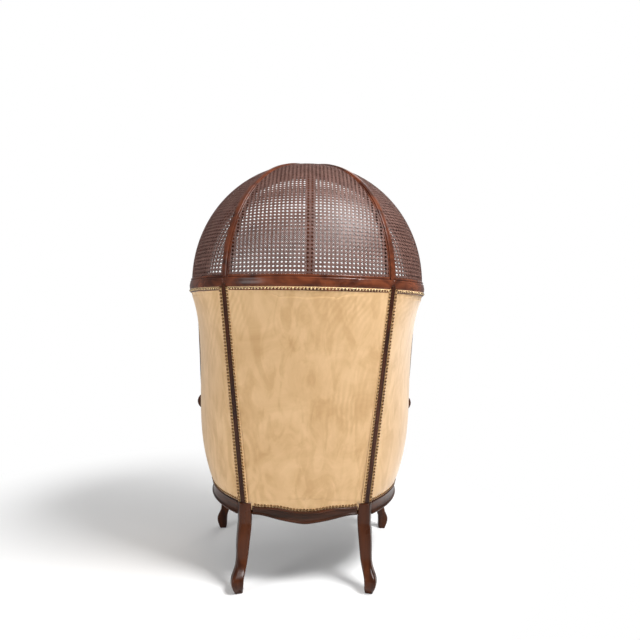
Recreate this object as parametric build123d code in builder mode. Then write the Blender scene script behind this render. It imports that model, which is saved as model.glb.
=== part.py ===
from build123d import *
from math import acos, asin, atan2, cos, degrees, hypot, radians, sin, sqrt
import os

os.makedirs("parts", exist_ok=True)

# A hall porter chair: a tub of upholstered walls under a caned half dome.
# The sitter faces -Y, the sitter's left is +X, and Z is up from the floor.
# Plan places are measured from the upright axis of the canopy's round rail.

# Heights above the floor
seat_rail_top = 292.0
arm_level = 600.0
canopy_base = 1031.0
canopy_rail_height = 32.0
dome_height = 466.0

# The round canopy rail, its posts and its front arch
canopy_radius = 444.0
canopy_rail_depth = 34.0
canopy_rail_proud = 4.5
canopy_bead_radius = 4.0
post_angle = 38.8
arch_setback = 55.0
arch_depth = 34.0
arch_thickness = 46.0
arch_proud = 5.0
arch_step = 3.0

# Rear posts: the stile over the cabriole leg
post_foot_x = 213.0
post_foot_y = 257.0
post_foot_angle = 30.0
post_width = 20.0
post_depth = 34.0
post_proud = 5.5
post_rounding = 4.0
post_top_rounding = 2.5
post_lap = 11.0

# Side walls at the seat rail and at the arm
wall_front_x = 332.0
wall_front_y = -300.0
wall_front_bulge = 81.0
arm_front_x = 425.0
arm_front_y = -262.0
arm_bulge = 59.0
waist_level = 757.0
waist_front_x = 434.0
waist_front_y = -170.0
waist_bulge = 34.0
wall_depth = 40.0
canopy_wall_angle = -16.0

# Back wall
back_bow = 28.0

# Cabriole legs
leg_size = 45.0
leg_reach = 35.0
rear_leg_reach = 62.0
rear_leg_splay = 16.0
leg_inset = 10.0
leg_corner_share = 0.22
front_leg_x = 330.0
front_leg_y = -280.0
block_height = 58.0
block_rounding = 4.0

# Seat rails
side_rail_height = 48.0
side_rail_depth = 30.0
rail_proud = 1.5
bead_radius = 4.0
hollow_depth = 3.0
back_rail_height = 43.0
back_rail_drop = 23.0
front_rail_height = 52.0
front_rail_drop = 24.0
front_rail_bow = 44.0
front_rail_reach = 330.0

# Show-wood edges of the wings and arms
wing_rail_width = 34.0
arm_support_width = 36.0
show_wood_proud = 5.0
knuckle_radius = 33.0
scroll_radius = 34.0
scroll_length = 40.0
knuckle_set_back = 11.0
knuckle_drop = 33.0
support_set_back = 22.0

# Dome ribs, lath and crown
cane_inset = 4.0
cane_thickness = 2.4
cane_gap = 16.0
cane_steps = 4
rib_width = 18.0
rib_proud = 5.0
rib_depth = 25.0
crown_radius = 46.0
crown_thickness = 34.0
lath_crown_width = 34.0
lath_foot_width = 18.0
lath_thickness = 6.0
lath_clearance = 1.0

# Upholstery
suede_thickness = 3.0
seat_clearance = 0.3
back_crown = 14.0

# Seat: cleats, webbing, deck, dust cover and loose cushion
cleat_height = 20.0
cleat_depth = 20.0
cleat_drop = 30.0
corner_block_size = 62.0
web_width = 50.0
web_thickness = 1.5
web_count = 5
web_pitch = 70.0
web_cross_pitch = 90.0
web_middle_y = -20.0
deck_top = 330.0
cushion_height = 112.0
cushion_draw = 50.0
cushion_corner = 45.0
cushion_clearance = 3.0
cushion_setback = 34.0
dust_cover_thickness = 1.0
dust_cover_margin = 8.0

# One overrun for every cut, and the places that a strip's outline is taken at
overrun = 40.0
strip_steps = 8

canopy_top = canopy_base + canopy_rail_height
rail_reach = canopy_radius + canopy_rail_proud
post_top_x = canopy_radius * sin(radians(post_angle))
post_top_y = canopy_radius * cos(radians(post_angle))
axis_y = (front_rail_reach - rail_reach) / 2
dome_radius = canopy_radius - cane_inset
upright_axis = Axis((0, axis_y, 0), (0, 0, 1))
side_view = Plane((0, axis_y, 0), x_dir=(0, 1, 0), z_dir=(1, 0, 0))
rear_view = Plane((0, axis_y, 0), x_dir=(1, 0, 0), z_dir=(0, -1, 0))
middle = Plane.YZ


def plan(height):
    """Level plane at a height, on the canopy's axis."""
    return Plane((0, axis_y, height))


def upright(x, y, angle):
    """Upright plane through a plan place: its own x runs out at the angle, its y runs up."""
    out_x, out_y = cos(radians(angle)), sin(radians(angle))
    return Plane((x, axis_y + y, 0), x_dir=(out_x, out_y, 0), z_dir=(out_y, -out_x, 0))


def save(piece, name):
    """Label a finished piece and write its file."""
    piece.part.label = name
    export_step(piece.part, f"parts/{name}.step")


def save_pair(piece, name):
    """Write the left piece and its mirror image."""
    save(piece, f"{name}_left")
    with BuildPart() as twin:
        mirror(piece.part, about=middle)
    save(twin, f"{name}_right")
    return twin


# Rear posts: a raked, polished stile that turns into a cabriole leg below the rails

def post_place(height):
    """Plan place and outward angle of the left rear post at a height."""
    share = (height - seat_rail_top) / (canopy_base - seat_rail_top)
    x = post_foot_x + (post_top_x - post_foot_x) * share
    y = post_foot_y + (post_top_y - post_foot_y) * share
    return x, y, 90 - (post_foot_angle + (post_angle - post_foot_angle) * share)


def post_section(height):
    """Level section of the stile, with its polished face outwards."""
    x, y, angle = post_place(height)
    out = (cos(radians(angle)), sin(radians(angle)), 0)
    with BuildSketch(Plane((x, axis_y + y, height), x_dir=out)) as section:
        with Locations((post_proud - post_depth / 2, 0)):
            RectangleRounded(post_depth, post_width, post_rounding)
    return section.sketch


# Height, outward reach and size of the leg from floor to rail, as shares
leg_shares = (
    (0.000, 0.84, 0.60),
    (0.040, 0.90, 0.74),
    (0.105, 1.02, 0.88),
    (0.170, 1.00, 0.90),
    (0.250, 0.66, 0.82),
    (0.350, 0.38, 0.83),
    (0.480, 0.28, 0.92),
    (0.620, 0.16, 0.99),
    (0.720, 0.05, 1.00),
)


def leg_section(x, y, angle, splay, height, reach, size):
    """Rounded square with one corner pointing out at the angle, carried out along the splay."""
    out = (cos(radians(splay)), sin(radians(splay)))
    corner = cos(radians(angle + 45)), sin(radians(angle + 45)), 0
    place = (x + out[0] * reach, axis_y + y + out[1] * reach, height)
    with BuildSketch(Plane(place, x_dir=corner)) as section:
        RectangleRounded(size, size, size * leg_corner_share)
    return section.sketch


def leg_sections(x, y, angle, splay, full_reach):
    """Sections of a cabriole leg below its square block."""
    sections = []
    for height_share, reach_share, size_share in leg_shares:
        sections.append(leg_section(x, y, angle, splay, seat_rail_top * height_share,
                                    full_reach * reach_share, leg_size * size_share))
    sections.append(leg_section(x, y, angle, splay, seat_rail_top - block_height, 0, leg_size))
    return sections


def leg_block(x, y, angle):
    """The block that the seat rails butt against, before its top edges are rounded."""
    section = leg_section(x, y, angle, angle, seat_rail_top - block_height, 0, leg_size)
    return extrude(section, amount=block_height, mode=Mode.PRIVATE)


def rail_gap(x, y, angle):
    """The space that the seat rails leave for a leg's block, run on past its two outer faces."""
    corner = cos(radians(angle + 45)), sin(radians(angle + 45)), 0
    with BuildSketch(Plane((x, axis_y + y, seat_rail_top - block_height), x_dir=corner)) as section:
        with Locations((overrun / 2, -overrun / 2)):
            Rectangle(leg_size + overrun, leg_size + overrun)
    return extrude(section.sketch, amount=block_height, mode=Mode.PRIVATE)


leg_angle = 90 - post_foot_angle
rear_leg_x = post_foot_x - leg_inset * cos(radians(leg_angle))
rear_leg_y = post_foot_y - leg_inset * sin(radians(leg_angle))
front_leg_angle = -45

rear_block = leg_block(rear_leg_x, rear_leg_y, leg_angle)
front_block = leg_block(front_leg_x, front_leg_y, front_leg_angle)
rear_gap = rail_gap(rear_leg_x, rear_leg_y, leg_angle)
front_gap = rail_gap(front_leg_x, front_leg_y, front_leg_angle)

with BuildPart() as rear_post:
    loft(sections=leg_sections(rear_leg_x, rear_leg_y, leg_angle, 90 - rear_leg_splay, rear_leg_reach))
    add(rear_block)
    fillet(rear_post.faces().sort_by(Axis.Z)[-1].edges(), block_rounding)
    loft(sections=[post_section(seat_rail_top - block_rounding), post_section(canopy_base + post_lap)],
         ruled=True)
    fillet(rear_post.faces().sort_by(Axis.Z)[-1].edges(), post_top_rounding)
rear_post_right = save_pair(rear_post, "rear_post")

with BuildPart() as front_leg:
    loft(sections=leg_sections(front_leg_x, front_leg_y, front_leg_angle, front_leg_angle, leg_reach))
    add(front_block)
front_leg_right = save_pair(front_leg, "front_leg")


# Side walls: one curved wall, cut up into skin, pad, seat rail and show-wood edges

def arc_frame(start, end, bulge):
    """Centre, radius and end angles of the arc from start to end that bulges to the sitter's left."""
    chord = hypot(end[0] - start[0], end[1] - start[1])
    radius = (chord * chord / 4 + bulge * bulge) / (2 * bulge)
    out_x, out_y = (start[1] - end[1]) / chord, (end[0] - start[0]) / chord
    x = (start[0] + end[0]) / 2 + out_x * (bulge - radius)
    y = (start[1] + end[1]) / 2 + out_y * (bulge - radius)
    first = degrees(atan2(start[1] - y, start[0] - x))
    last = degrees(atan2(end[1] - y, end[0] - x))
    return (x, y), radius, first, last


def side_line(height):
    """The wall's outer line at the seat rail, the arm, the waist or the canopy rail."""
    start = post_place(height)[:2]
    if height == seat_rail_top:
        return arc_frame(start, (wall_front_x, wall_front_y), wall_front_bulge)
    if height == arm_level:
        return arc_frame(start, (arm_front_x, arm_front_y), arm_bulge)
    if height == waist_level:
        return arc_frame(start, (waist_front_x, waist_front_y), waist_bulge)
    return (0, 0), canopy_radius, 90 - post_angle, canopy_wall_angle


def side_section(height, near, far):
    """Level slice of the left wall between two depths behind its outer line."""
    centre, radius, first, last = side_line(height)
    with BuildSketch(plan(height)) as section:
        with BuildLine():
            outer = CenterArc(centre, radius - near, first, last - first)
            inner = CenterArc(centre, radius - far, first, last - first)
            Line(outer @ 0, inner @ 0)
            Line(outer @ 1, inner @ 1)
        make_face()
    return section.sketch


def side_sections(near, far):
    """The slices that a wall is lofted through."""
    return [side_section(level, near, far) for level in (seat_rail_top, arm_level, waist_level, canopy_base)]


# Centre lines of the show-wood in the side view, as shares of the arm's and wing's own sizes
wing_height = canopy_base - arm_level
wing_run = -arch_setback - arm_front_y
wing_shares = ((0.10, 0.03), (0.42, 0.08), (0.68, 0.28), (0.86, 0.60), (1.00, 1.00))
support_height = arm_level - seat_rail_top
support_shares = ((0.00, 0.00), (0.95, 0.34), (1.00, 0.66), (0.20, 0.92))
knuckle_y = arm_front_y + knuckle_set_back
knuckle_z = arm_level - knuckle_drop


def wing_points():
    """Places along the wing edge, from the scroll up to the canopy rail."""
    return [(arm_front_y + wing_run * run, arm_level + wing_height * rise) for run, rise in wing_shares]


def support_points():
    """Places up the arm support, from the front leg's block to the scroll."""
    return [(front_leg_y + support_set_back * run, seat_rail_top + support_height * rise)
            for run, rise in support_shares]


def strip_outline(line, width, start_run, end_run):
    """Closed outline at an even width along a line of the side view, run on straight at its ends."""
    left, right = [], []
    for step in range(strip_steps + 1):
        place, along = line @ (step / strip_steps), line % (step / strip_steps)
        side = Vector(-along.Y, along.X) * (width / 2)
        left.append(place + side)
        right.append(place - side)
    back, ahead = (line % 0) * start_run, (line % 1) * end_run
    with BuildSketch(side_view) as outline:
        with BuildLine():
            Spline(*left)
            Spline(*right)
            Polyline(left[0], left[0] - back, right[0] - back, right[0])
            Polyline(left[-1], left[-1] + ahead, right[-1] + ahead, right[-1])
        make_face()
    return outline.sketch


wing_line = Spline(*wing_points())
support_line = Spline(*support_points())

show_wood = loft(sections=side_sections(-show_wood_proud, wall_depth + show_wood_proud), mode=Mode.PRIVATE)
wing_outline = strip_outline(wing_line, wing_rail_width, knuckle_radius / 2, overrun)
support_outline = strip_outline(support_line, arm_support_width, overrun, knuckle_radius / 2)
with BuildSketch(side_view) as knuckle:
    with Locations((knuckle_y, knuckle_z)):
        Circle(knuckle_radius)
wing_cut = extrude(wing_outline, amount=2 * canopy_radius, mode=Mode.PRIVATE)
knuckle_cut = extrude(knuckle.sketch, amount=2 * canopy_radius, mode=Mode.PRIVATE)
support_cut = extrude(support_outline, amount=2 * canopy_radius, mode=Mode.PRIVATE)

with BuildPart() as arm_rail:
    add(show_wood & (wing_cut + knuckle_cut))
    with BuildSketch(rear_view.offset(-knuckle_y - scroll_length / 2)):
        with Locations((arm_front_x, knuckle_z)):
            Circle(scroll_radius)
    extrude(amount=scroll_length)
save_pair(arm_rail, "arm_rail")

with BuildPart() as arm_support:
    add(show_wood & support_cut)
    add(arm_rail.part, mode=Mode.SUBTRACT)
arm_support_right = save_pair(arm_support, "arm_support")


# Seat rails: a bead over a hollow over a bead, turned about the centre of the wall's curve

def rail_profile(plane, radius, foot, height, depth):
    """Section of a moulded rail whose plain face lies at the radius; the plane's x runs outwards."""
    face = radius + rail_proud
    with BuildSketch(plane) as profile:
        with BuildLine():
            Polyline((face, foot), (radius - depth, foot), (radius - depth, foot + height), (face, foot + height))
            ThreePointArc((face, foot), (face + bead_radius, foot + bead_radius), (face, foot + 2 * bead_radius))
            ThreePointArc((face, foot + 2 * bead_radius), (face - hollow_depth, foot + height / 2),
                          (face, foot + height - 2 * bead_radius))
            ThreePointArc((face, foot + height - 2 * bead_radius),
                          (face + bead_radius, foot + height - bead_radius), (face, foot + height))
        make_face()
    return profile.sketch


side_centre, side_radius, side_first, side_last = side_line(seat_rail_top)
side_axis = Axis((side_centre[0], axis_y + side_centre[1], 0), (0, 0, 1))

with BuildPart() as side_rail:
    add(rail_profile(upright(*side_centre, side_last), side_radius, seat_rail_top - side_rail_height,
                     side_rail_height, side_rail_depth))
    revolve(axis=side_axis, revolution_arc=side_first - side_last)
    add(rear_gap, mode=Mode.SUBTRACT)
    add(front_gap, mode=Mode.SUBTRACT)
    add(side_rail.solids().sort_by(SortBy.VOLUME)[-1], mode=Mode.REPLACE)
save_pair(side_rail, "side_rail")


def bow_frame(half, reach, bow):
    """Centre and radius, in plan, of a curve that bows out to its full reach at the middle."""
    radius = (half * half + bow * bow) / (2 * bow)
    return reach - radius, radius


# Fall of the rails' top and lower edges from their ends to the middle, as shares
rail_top_shares = ((1.00, 0.00), (0.72, 0.50), (0.45, 0.52), (0.18, 0.95), (0.00, 1.00))
rail_low_shares = ((1.00, 0.70), (0.72, 0.62), (0.45, 0.79), (0.18, 0.94), (0.00, 1.00))


def serpentine(half, fall, shares):
    """Even-sided wave across a rail, from one end through the middle to the other."""
    near = [(-half * run, seat_rail_top - fall * share) for run, share in shares]
    far = [(half * run, seat_rail_top - fall * share) for run, share in shares[-2::-1]]
    return Spline(*near, *far)


def rail_outline(half, drop, height):
    """Serpentine front view of a seat rail, dipping to the middle, drawn behind the chair."""
    with BuildSketch(rear_view.offset(-canopy_radius)) as outline:
        with BuildLine():
            top_line = serpentine(half, drop, rail_top_shares)
            low_line = serpentine(half, drop + height, rail_low_shares)
            Line(top_line @ 0, low_line @ 0)
            Line(top_line @ 1, low_line @ 1)
        make_face()
    return outline.sketch


back_reach = post_foot_y + back_bow
back_centre, back_radius = bow_frame(post_foot_x, back_reach, back_bow)

with BuildPart() as back_rail:
    with BuildSketch(plan(seat_rail_top - block_height - overrun)):
        with Locations((0, back_centre)):
            Circle(back_radius + rail_proud)
            Circle(back_radius - side_rail_depth, mode=Mode.SUBTRACT)
        with Locations((0, back_centre)):
            Rectangle(2 * rear_leg_x, back_radius + overrun, align=(Align.CENTER, Align.MIN), mode=Mode.INTERSECT)
    extrude(amount=block_height + overrun)
    add(rail_outline(rear_leg_x, back_rail_drop, back_rail_height))
    extrude(amount=2 * canopy_radius, dir=(0, -1, 0), mode=Mode.INTERSECT)
    add(rear_gap, mode=Mode.SUBTRACT)
    add(mirror(rear_gap, about=middle, mode=Mode.PRIVATE), mode=Mode.SUBTRACT)
    add(back_rail.solids().sort_by(SortBy.VOLUME)[-1], mode=Mode.REPLACE)
save(back_rail, "back_rail")

front_centre, front_radius = bow_frame(front_leg_x, front_rail_reach - rail_proud, front_rail_bow)

with BuildPart() as front_rail:
    with BuildSketch(plan(seat_rail_top - block_height - overrun)):
        with Locations((0, -front_centre)):
            Circle(front_radius + rail_proud)
            Circle(front_radius - side_rail_depth, mode=Mode.SUBTRACT)
        with Locations((0, -front_centre)):
            Rectangle(2 * front_leg_x, front_radius + overrun, align=(Align.CENTER, Align.MAX),
                      mode=Mode.INTERSECT)
    extrude(amount=block_height + overrun)
    add(rail_outline(front_leg_x, front_rail_drop, front_rail_height))
    extrude(amount=2 * canopy_radius, dir=(0, -1, 0), mode=Mode.INTERSECT)
    add(front_gap, mode=Mode.SUBTRACT)
    add(mirror(front_gap, about=middle, mode=Mode.PRIVATE), mode=Mode.SUBTRACT)
    add(front_rail.solids().sort_by(SortBy.VOLUME)[-1], mode=Mode.REPLACE)
save(front_rail, "front_rail")


# Canopy rail: a round moulding in three lengths, butted over the posts and at the arch

def canopy_profile(angle):
    """Section of the canopy rail: a plain inside, a swelling face and a bead along the top."""
    face = rail_reach - canopy_rail_proud / 2
    swell = canopy_rail_height - 2 * canopy_bead_radius
    with BuildSketch(upright(0, 0, angle)) as profile:
        with BuildLine():
            Polyline((face, canopy_base), (canopy_radius - canopy_rail_depth, canopy_base),
                     (canopy_radius - canopy_rail_depth, canopy_top), (face - canopy_bead_radius, canopy_top))
            ThreePointArc((face, canopy_base), (rail_reach, canopy_base + swell / 2), (face, canopy_base + swell))
            ThreePointArc((face, canopy_base + swell), (face, canopy_top - canopy_bead_radius),
                          (face - canopy_bead_radius, canopy_top))
        make_face()
    return profile.sketch


arch_plane_y = -arch_setback + arch_depth / 2
back_angle = 90 - post_angle

with BuildPart() as canopy_rail_back:
    add(canopy_profile(back_angle))
    revolve(axis=upright_axis, revolution_arc=2 * post_angle)
    add(rear_post.part, mode=Mode.SUBTRACT)
    add(rear_post_right.part, mode=Mode.SUBTRACT)
save(canopy_rail_back, "canopy_rail_back")

with BuildPart() as canopy_rail_side:
    add(canopy_profile(canopy_wall_angle))
    revolve(axis=upright_axis, revolution_arc=back_angle - canopy_wall_angle)
    split(bisect_by=Plane((0, axis_y + arch_plane_y, 0), z_dir=(0, 1, 0)), keep=Keep.TOP)
    add(rear_post.part, mode=Mode.SUBTRACT)
save_pair(canopy_rail_side, "canopy_rail")


# Front arch: a half ellipse on short upright feet that carry on from the wing edges

arch_half = sqrt(canopy_radius ** 2 - arch_setback ** 2) + arch_proud


def arch_ring(trim, front, back):
    """The arch between two upright planes, trimmed back from both its edges."""
    with BuildSketch(rear_view.offset(front)) as ring:
        with Locations((0, canopy_top)):
            Ellipse(arch_half - trim, dome_height + arch_proud - trim)
            Ellipse(arch_half - arch_thickness + trim, dome_height + arch_proud - arch_thickness + trim,
                    mode=Mode.SUBTRACT)
            Rectangle(2 * arch_half, dome_height + overrun, align=(Align.CENTER, Align.MIN),
                      mode=Mode.INTERSECT)
        for side in (-1, 1):
            with Locations((side * (arch_half - arch_thickness / 2), canopy_base)):
                Rectangle(arch_thickness - 2 * trim, canopy_rail_height, align=(Align.CENTER, Align.MIN))
    return extrude(ring.sketch, amount=back - front, mode=Mode.PRIVATE)


arch_front = arch_setback + arch_depth / 2
arch_back = arch_setback - arch_depth / 2

with BuildPart() as canopy_arch:
    add(arch_ring(arch_step, arch_front, arch_back))
    add(arch_ring(0, arch_front - arch_step, arch_back))
save(canopy_arch, "canopy_arch")


# Dome: ribs and cane panels whose curves all spring from the crest of the arch

def dome_reach(angle):
    """Level distance from the arch's crest line to the foot of the cane, out at an angle."""
    side, ahead = cos(radians(angle)), sin(radians(angle))
    return arch_setback * ahead + sqrt(dome_radius ** 2 - (arch_setback * side) ** 2)


def dome_bar(angle, near, far, width):
    """Curved bar along the dome, between two depths behind the cane's face."""
    reach = dome_reach(angle)
    plane = upright(0, -arch_setback, angle).offset(-width / 2)
    with BuildSketch(plane) as band:
        with Locations((0, canopy_top)):
            Ellipse(reach - near, dome_height - near)
            Ellipse(reach - far, dome_height - far, mode=Mode.SUBTRACT)
        with Locations((crown_radius / 2, canopy_top)):
            Rectangle(reach, dome_height + overrun, align=(Align.MIN, Align.MIN), mode=Mode.INTERSECT)
    return extrude(band.sketch, amount=width, dir=plane.z_dir, mode=Mode.PRIVATE)


rib_angle = degrees(atan2(post_top_y + arch_setback, post_top_x))

with BuildPart() as crown_block:
    with BuildSketch(plan(canopy_top + dome_height - crown_thickness)):
        with Locations((0, -arch_setback)):
            Circle(crown_radius)
            Rectangle(2 * crown_radius, crown_radius, align=(Align.CENTER, Align.MIN), mode=Mode.INTERSECT)
    extrude(amount=crown_thickness)
    add(canopy_arch.part, mode=Mode.SUBTRACT)
save(crown_block, "crown_block")

with BuildPart() as canopy_rib:
    add(dome_bar(rib_angle, -rib_proud, rib_depth, rib_width))
    add(crown_block.part, mode=Mode.SUBTRACT)
    add(canopy_arch.part, mode=Mode.SUBTRACT)
canopy_rib_right = save_pair(canopy_rib, "canopy_rib")

lath_depth = cane_thickness + lath_clearance

with BuildPart() as canopy_lath:
    add(dome_bar(90, lath_depth, lath_depth + lath_thickness, lath_crown_width))
    with BuildSketch(plan(canopy_base)):
        with Locations((0, -arch_setback)):
            with BuildLine():
                Polyline((-lath_crown_width / 2, 0), (lath_crown_width / 2, 0),
                         (lath_foot_width / 2, dome_reach(90)), (-lath_foot_width / 2, dome_reach(90)), close=True)
            make_face()
    extrude(amount=canopy_top + dome_height, mode=Mode.INTERSECT)
    add(crown_block.part, mode=Mode.SUBTRACT)
save(canopy_lath, "canopy_lath")


def dome_strip(angle, near):
    """Upright strip of cane from the canopy rail up to the crown block."""
    with BuildSketch(upright(0, -arch_setback, angle)) as strip:
        with BuildLine():
            ends = []
            for depth in (near, near + cane_thickness):
                reach = dome_reach(angle) - depth
                stop = degrees(acos((crown_radius - seat_clearance) / reach))
                ends.append(EllipticalCenterArc((0, canopy_top), reach, dome_height - depth, 0, arc_size=stop))
            Line(ends[0] @ 0, ends[1] @ 0)
            Line(ends[0] @ 1, ends[1] @ 1)
        make_face()
    return strip.sketch


def cane_panel(first_angle, last_angle, near):
    """Thin skin of cane between two ribs."""
    step = (last_angle - first_angle) / cane_steps
    strips = [dome_strip(first_angle + step * count, near) for count in range(cane_steps + 1)]
    return loft(sections=strips, mode=Mode.PRIVATE)


cane_layers = (("cane_panel", 0), ("inner_cane", cane_gap))

for layer_name, layer_depth in cane_layers:
    with BuildPart() as back_layer:
        add(cane_panel(rib_angle, 180 - rib_angle, layer_depth))
        add(canopy_rib.part, mode=Mode.SUBTRACT)
        add(canopy_rib_right.part, mode=Mode.SUBTRACT)
        add(crown_block.part, mode=Mode.SUBTRACT)
    save(back_layer, f"{layer_name}_back")
    with BuildPart() as side_layer:
        add(cane_panel(0, rib_angle, layer_depth))
        add(canopy_rib.part, mode=Mode.SUBTRACT)
        add(canopy_arch.part, mode=Mode.SUBTRACT)
        add(crown_block.part, mode=Mode.SUBTRACT)
    save_pair(side_layer, layer_name)


# Back wall: a ruled surface between the straight posts, from the bowed rail to the round canopy rail

def back_section(height, near, far):
    """Level slice of the back wall between two depths; its inner face swells by the pad's crown."""
    x, y, _ = post_place(height)
    share = (height - seat_rail_top) / (canopy_base - seat_rail_top)
    bow = back_bow + (canopy_radius - post_top_y - back_bow) * share
    swell = min(back_crown, far - suede_thickness)
    with BuildSketch(plan(height)) as section:
        with BuildLine():
            outer = ThreePointArc((-x, y - near), (0, y + bow - near), (x, y - near))
            inner = ThreePointArc((-x, y - far), (0, y + bow - far - swell), (x, y - far))
            Line(outer @ 0, inner @ 0)
            Line(outer @ 1, inner @ 1)
        make_face()
    return section.sketch


low_level = seat_rail_top - back_rail_drop - rail_proud
pad_face = suede_thickness + seat_clearance

with BuildPart() as outer_back_panel:
    loft(sections=[back_section(low_level, 0, suede_thickness),
                   back_section(canopy_base, 0, suede_thickness)], ruled=True)
    for piece in (rear_post, rear_post_right, back_rail):
        add(piece.part, mode=Mode.SUBTRACT)
save(outer_back_panel, "outer_back_panel")

with BuildPart() as inner_back_pad:
    loft(sections=[back_section(seat_rail_top, pad_face, wall_depth),
                   back_section(canopy_base, pad_face, wall_depth)], ruled=True)
    for piece in (rear_post, rear_post_right):
        add(piece.part, mode=Mode.SUBTRACT)
save(inner_back_pad, "inner_back_pad")


# Side walls: an outer suede panel and an inner pad, both ending at the show-wood

def side_wall(near, far):
    """The left wall between two depths, from the seat rail up, behind the show-wood's centre lines."""
    wall = loft(sections=side_sections(near, far), mode=Mode.PRIVATE)
    with BuildSketch(side_view) as outline:
        with BuildLine():
            Spline(*support_points())
            Polyline(support_points()[-1], (knuckle_y, knuckle_z), wing_points()[0])
            Spline(*wing_points())
            Polyline(wing_points()[-1], (-arch_setback, canopy_base + overrun),
                     (canopy_radius, canopy_base + overrun), (canopy_radius, seat_rail_top - overrun),
                     (front_leg_y, seat_rail_top - overrun), support_points()[0])
        make_face()
    return wall & extrude(outline.sketch, amount=2 * canopy_radius, dir=(1, 0, 0), mode=Mode.PRIVATE)


with BuildPart() as outer_side_panel:
    add(side_wall(0, suede_thickness))
    for piece in (arm_rail, arm_support, rear_post):
        add(piece.part, mode=Mode.SUBTRACT)
    add(outer_side_panel.solids().sort_by(SortBy.VOLUME)[-1], mode=Mode.REPLACE)
save_pair(outer_side_panel, "outer_side_panel")

with BuildPart() as inner_side_pad:
    add(side_wall(pad_face, wall_depth))
    for piece in (arm_rail, arm_support, rear_post, inner_back_pad):
        add(piece.part, mode=Mode.SUBTRACT)
save_pair(inner_side_pad, "inner_side_pad")


# Seat: cleats and corner blocks inside the rails, webbing, a stuffed deck and a dust cover

def seat_plan(height, depth, front_depth, back_depth, corner=0):
    """Plan of the seat between the walls, set in from the outer lines of the rails."""
    with BuildSketch(plan(height)) as outline:
        with Locations(side_centre):
            Circle(side_radius - depth)
        with Locations((-side_centre[0], side_centre[1])):
            Circle(side_radius - depth, mode=Mode.INTERSECT)
        with Locations((0, back_centre)):
            Circle(back_radius - back_depth, mode=Mode.INTERSECT)
        with Locations((0, -front_centre)):
            Circle(front_radius - front_depth, mode=Mode.INTERSECT)
        if corner:
            fillet(outline.vertices(), corner)
    return outline.sketch


cleat_top = seat_rail_top - cleat_drop
cleat_foot = cleat_top - cleat_height
rail_back = side_rail_depth
leg_places = ((front_leg_x, front_leg_y, front_leg_angle), (rear_leg_x, rear_leg_y, leg_angle),
              (-front_leg_x, front_leg_y, -front_leg_angle), (-rear_leg_x, rear_leg_y, -leg_angle))
legs = (rear_post, rear_post_right, front_leg, front_leg_right)

with BuildPart() as corner_blocks:
    add(extrude(seat_plan(cleat_foot, rail_back, rail_back, rail_back), amount=cleat_height + web_thickness * 2,
                mode=Mode.PRIVATE))
    with BuildSketch(plan(cleat_foot)):
        for x, y, angle in leg_places:
            with Locations((x, y)):
                Rectangle(2 * corner_block_size, 2 * corner_block_size, rotation=angle)
    extrude(amount=cleat_height + web_thickness * 2, mode=Mode.INTERSECT)
    for leg in legs:
        add(leg.part, mode=Mode.SUBTRACT)
save(corner_blocks, "corner_blocks")

with BuildPart() as seat_cleats:
    add(extrude(seat_plan(cleat_foot, rail_back, rail_back, rail_back), amount=cleat_height, mode=Mode.PRIVATE))
    inner = rail_back + cleat_depth
    add(extrude(seat_plan(cleat_foot, inner, inner, inner), amount=cleat_height, mode=Mode.PRIVATE),
        mode=Mode.SUBTRACT)
    for piece in (*legs, corner_blocks):
        add(piece.part, mode=Mode.SUBTRACT)
save(seat_cleats, "seat_cleats")

with BuildPart() as seat_webbing:
    with BuildSketch(plan(cleat_top)):
        with GridLocations(web_pitch, 0, web_count, 1):
            Rectangle(web_width, 2 * canopy_radius)
    extrude(amount=web_thickness)
    with BuildSketch(plan(cleat_top + web_thickness)):
        with Locations((0, web_middle_y)):
            with GridLocations(0, web_cross_pitch, 1, web_count):
                Rectangle(2 * canopy_radius, web_width)
    extrude(amount=web_thickness)
    reach = rail_back + cleat_depth / 2
    add(extrude(seat_plan(cleat_top, reach, reach, reach), amount=2 * web_thickness, mode=Mode.PRIVATE),
        mode=Mode.INTERSECT)
    add(corner_blocks.part, mode=Mode.SUBTRACT)
save(seat_webbing, "seat_webbing")

with BuildPart() as dust_cover:
    cover = rail_back + dust_cover_margin
    add(extrude(seat_plan(cleat_foot - dust_cover_thickness, cover, cover, cover), amount=dust_cover_thickness,
                mode=Mode.PRIVATE))
    for leg in legs:
        add(leg.part, mode=Mode.SUBTRACT)
save(dust_cover, "dust_cover")

deck_foot = cleat_top + 2 * web_thickness
back_inset = wall_depth + back_crown + seat_clearance

with BuildPart() as seat_deck:
    inside = rail_back + seat_clearance
    add(extrude(seat_plan(deck_foot, inside, inside, inside), amount=seat_rail_top - deck_foot, mode=Mode.PRIVATE))
    inset = wall_depth + seat_clearance
    add(extrude(seat_plan(seat_rail_top, inset, inside, back_inset), amount=deck_top - seat_rail_top,
                mode=Mode.PRIVATE))
    for piece in (*legs, corner_blocks, arm_support, arm_support_right):
        add(piece.part, mode=Mode.SUBTRACT)
save(seat_deck, "seat_deck")


# Loose seat cushion: crowned, with sides that draw in above and below the middle

# Height and inset of the cushion from its underside to its crown, as shares
cushion_shares = (
    (0.00, 0.22),
    (0.08, 0.07),
    (0.20, 0.02),
    (0.44, 0.00),
    (0.64, 0.03),
    (0.76, 0.12),
    (0.84, 0.32),
    (0.91, 0.80),
    (0.96, 1.50),
    (1.00, 3.00),
)


def cushion_section(height, inset):
    """Level section of the cushion with rounded corners."""
    side = wall_depth + show_wood_proud + cushion_clearance + inset
    return seat_plan(height, side, cushion_setback + inset, back_inset + cushion_clearance + inset, cushion_corner)


with BuildPart() as seat_cushion:
    loft(sections=[cushion_section(deck_top + seat_clearance + cushion_height * rise, cushion_draw * draw)
                   for rise, draw in cushion_shares], ruled=True)
save(seat_cushion, "seat_cushion")
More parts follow.
